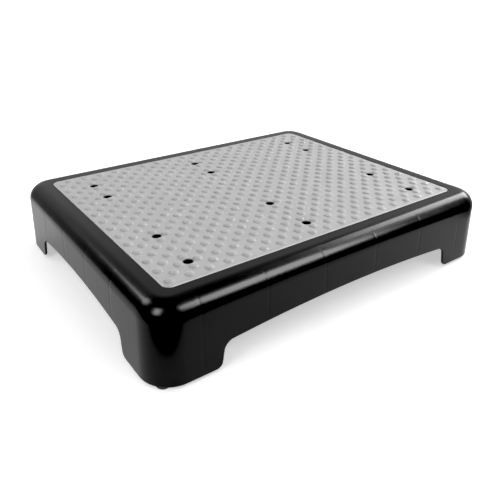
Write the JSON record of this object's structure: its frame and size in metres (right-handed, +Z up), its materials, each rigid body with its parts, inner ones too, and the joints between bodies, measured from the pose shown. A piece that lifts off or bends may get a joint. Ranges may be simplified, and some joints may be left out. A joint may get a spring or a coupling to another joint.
{
  "type": "step stool",
  "caption": "Low rectangular half step: black moulded plastic platform with rounded rim and corner legs, a studded pale grey rubber mat set in its deck, and rubber feet.",
  "frame": {"origin": "middle of the footprint, on the floor", "axes": "+Z up; X runs along the long edge, +X to the right seen from the front; the front edge is at -Y"},
  "size_m": [0.501, 0.401, 0.093],
  "materials": {
    "shell_plastic": "satin to semi-gloss black injection-moulded polypropylene",
    "mat_rubber": "matte pale grey rubber",
    "foot_rubber": "matte black rubber"
  },
  "bodies": {
    "root": {"platform_shell": "shell_plastic", "tread_mat": "mat_rubber", "foot_front_left": "foot_rubber", "foot_front_right": "foot_rubber", "foot_back_left": "foot_rubber", "foot_back_right": "foot_rubber"}
  },
  "joints": []
}
